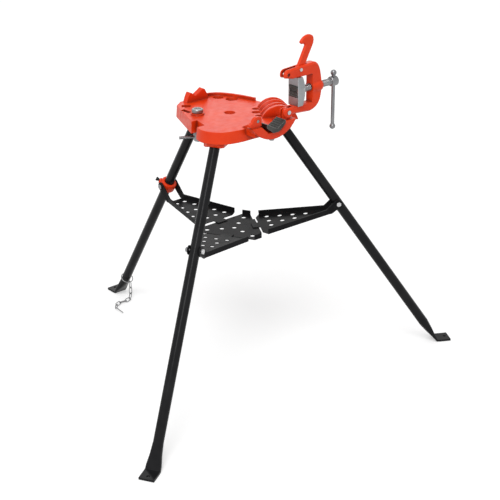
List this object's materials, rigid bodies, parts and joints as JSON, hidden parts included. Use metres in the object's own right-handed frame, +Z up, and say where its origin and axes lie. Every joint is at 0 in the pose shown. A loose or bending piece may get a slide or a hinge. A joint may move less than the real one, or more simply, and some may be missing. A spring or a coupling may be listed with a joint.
{
  "type": "tripod pipe vise stand",
  "caption": "Folding tripod stand with a cast platform, hinged yoke pipe vise, pipe bender, pipe rest, ceiling brace and a sheet steel tool tray between tube legs.",
  "frame": {"origin": "middle of the footprint box, on the floor", "axes": "+X to the right of someone standing at the vise end, +Y away from the vise towards the single rear leg, +Z up"},
  "size_m": [1.1038, 0.9376, 0.932],
  "materials": {
    "red_paint": "gloss paint on a sand casting",
    "black_enamel": "semi-gloss black enamel",
    "zinc": "bright zinc plate",
    "jaw_steel": "hardened, blackened steel",
    "cast_steel": "bright machined casting"
  },
  "bodies": {
    "base": {"base_casting": "red_paint", "lower_jaw": "jaw_steel", "lower_jaw_bolt": "zinc", "yoke_hinge_pin": "zinc", "latch_lug_pin": "zinc", "leg_pivot_bolt_rear": "zinc", "leg_pivot_nut_rear": "zinc", "leg_pivot_bolt_left": "zinc", "leg_pivot_nut_left": "zinc", "leg_pivot_bolt_right": "zinc", "leg_pivot_nut_right": "zinc"},
    "yoke_body": {"yoke": "red_paint", "hook_pin": "zinc"},
    "hook_body": {"hook": "red_paint"},
    "carrier_body": {"jaw_carrier": "cast_steel", "upper_jaw": "jaw_steel", "jaw_retaining_pin": "zinc"},
    "screw_body": {"vise_screw": "zinc"},
    "handle_body": {"handle_bar": "zinc", "handle_knob_upper": "zinc", "handle_knob_lower": "zinc"},
    "brace_cap_body": {"brace_cap": "zinc"},
    "brace_screw_body": {"brace_screw": "zinc", "brace_handle": "zinc"},
    "rear_leg_body": {"leg_rear": "black_enamel", "leg_collar": "red_paint", "collar_pin_left": "zinc", "collar_pin_right": "zinc", "collar_lock_screw": "black_enamel", "chain_leg_ring": "zinc", "chain_link_1": "zinc", "chain_link_2": "zinc", "chain_link_3": "zinc", "chain_link_4": "zinc", "chain_link_5": "zinc", "chain_link_6": "zinc", "chain_link_7": "zinc", "chain_end_ring": "zinc"},
    "left_leg_body": {"leg_left": "black_enamel", "tray_bolt_left": "zinc", "tray_nut_left": "zinc"},
    "right_leg_body": {"leg_right": "black_enamel", "tray_bolt_right": "zinc", "tray_nut_right": "zinc"},
    "rear_arm_body": {"tray_arm_rear": "black_enamel"},
    "left_arm_body": {"tray_arm_left": "black_enamel"},
    "right_arm_body": {"tray_arm_right": "black_enamel"},
    "tray_centre_body": {"tray_centre": "black_enamel"}
  },
  "joints": [
    {"name": "yoke_swing", "type": "hinge", "parent": "base", "child": "yoke_body", "pos_m": [0.048, -0.28858, 0.748], "axis": [0, -1, 0], "range_deg": [0, 90]},
    {"name": "hook_swing", "type": "hinge", "parent": "yoke_body", "child": "hook_body", "pos_m": [0.087, -0.28858, 0.85], "axis": [0, -1, 0], "range_deg": [0, 81]},
    {"name": "jaw_feed", "type": "slide", "parent": "yoke_body", "child": "carrier_body", "axis": [-1, 0, 0], "range_m": [-0.028, 0.03]},
    {"name": "screw_turn", "type": "hinge", "parent": "carrier_body", "child": "screw_body", "pos_m": [0.15, -0.28858, 0.796], "axis": [-1, 0, 0], "range_deg": [-2016, 2160]},
    {"name": "handle_slide", "type": "slide", "parent": "screw_body", "child": "handle_body", "axis": [0, 0, 1], "range_m": [0, 0.098]},
    {"name": "brace_lift", "type": "slide", "parent": "base", "child": "brace_cap_body", "axis": [0, 0, 1], "range_m": [0, 0.019]},
    {"name": "brace_turn", "type": "hinge", "parent": "brace_cap_body", "child": "brace_screw_body", "pos_m": [-0.069, -0.07958, 0.69], "axis": [0, 0, 1], "range_deg": [0, 1710]},
    {"name": "rear_leg_fold", "type": "hinge", "parent": "base", "child": "rear_leg_body", "pos_m": [0, -0.00258, 0.688], "axis": [-1, 0, 0], "range_deg": [0, 24]},
    {"name": "left_leg_fold", "type": "hinge", "parent": "base", "child": "left_leg_body", "pos_m": [-0.10565, -0.19958, 0.688], "axis": [0.5, -0.866, 0], "range_deg": [0, 24]},
    {"name": "right_leg_fold", "type": "hinge", "parent": "base", "child": "right_leg_body", "pos_m": [0.10565, -0.19958, 0.688], "axis": [0.5, 0.866, 0], "range_deg": [0, 24]},
    {"name": "rear_arm_fold", "type": "hinge", "parent": "rear_leg_body", "child": "rear_arm_body", "pos_m": [0, 0.1536, 0.44], "axis": [-1, 0, 0], "range_deg": [0, 47.05]},
    {"name": "left_arm_fold", "type": "hinge", "parent": "left_leg_body", "child": "left_arm_body", "pos_m": [-0.24403, -0.27947, 0.452], "axis": [0.5, -0.866, 0], "range_deg": [0, 51.85]},
    {"name": "right_arm_fold", "type": "hinge", "parent": "right_leg_body", "child": "right_arm_body", "pos_m": [0.24403, -0.27947, 0.452], "axis": [0.5, 0.866, 0], "range_deg": [0, 51.85]},
    {"name": "tray_lift", "type": "slide", "parent": "base", "child": "tray_centre_body", "axis": [0, 0, 1], "range_m": [0, 0.17601]}
  ],
  "couplings": [
    {"joint": "screw_turn", "follows": "jaw_feed", "rad_per_m": 1256.6},
    {"joint": "brace_turn", "follows": "brace_lift", "rad_per_m": 1570.8},
    {"joint": "left_leg_fold", "follows": "rear_leg_fold", "ratio": 1},
    {"joint": "right_leg_fold", "follows": "rear_leg_fold", "ratio": 1},
    {"joint": "rear_arm_fold", "follows": "rear_leg_fold", "ratio": 1.96},
    {"joint": "left_arm_fold", "follows": "rear_leg_fold", "ratio": 2.16},
    {"joint": "right_arm_fold", "follows": "rear_leg_fold", "ratio": 2.16},
    {"joint": "tray_lift", "follows": "rear_leg_fold", "m_per_rad": 0.42017}
  ]
}
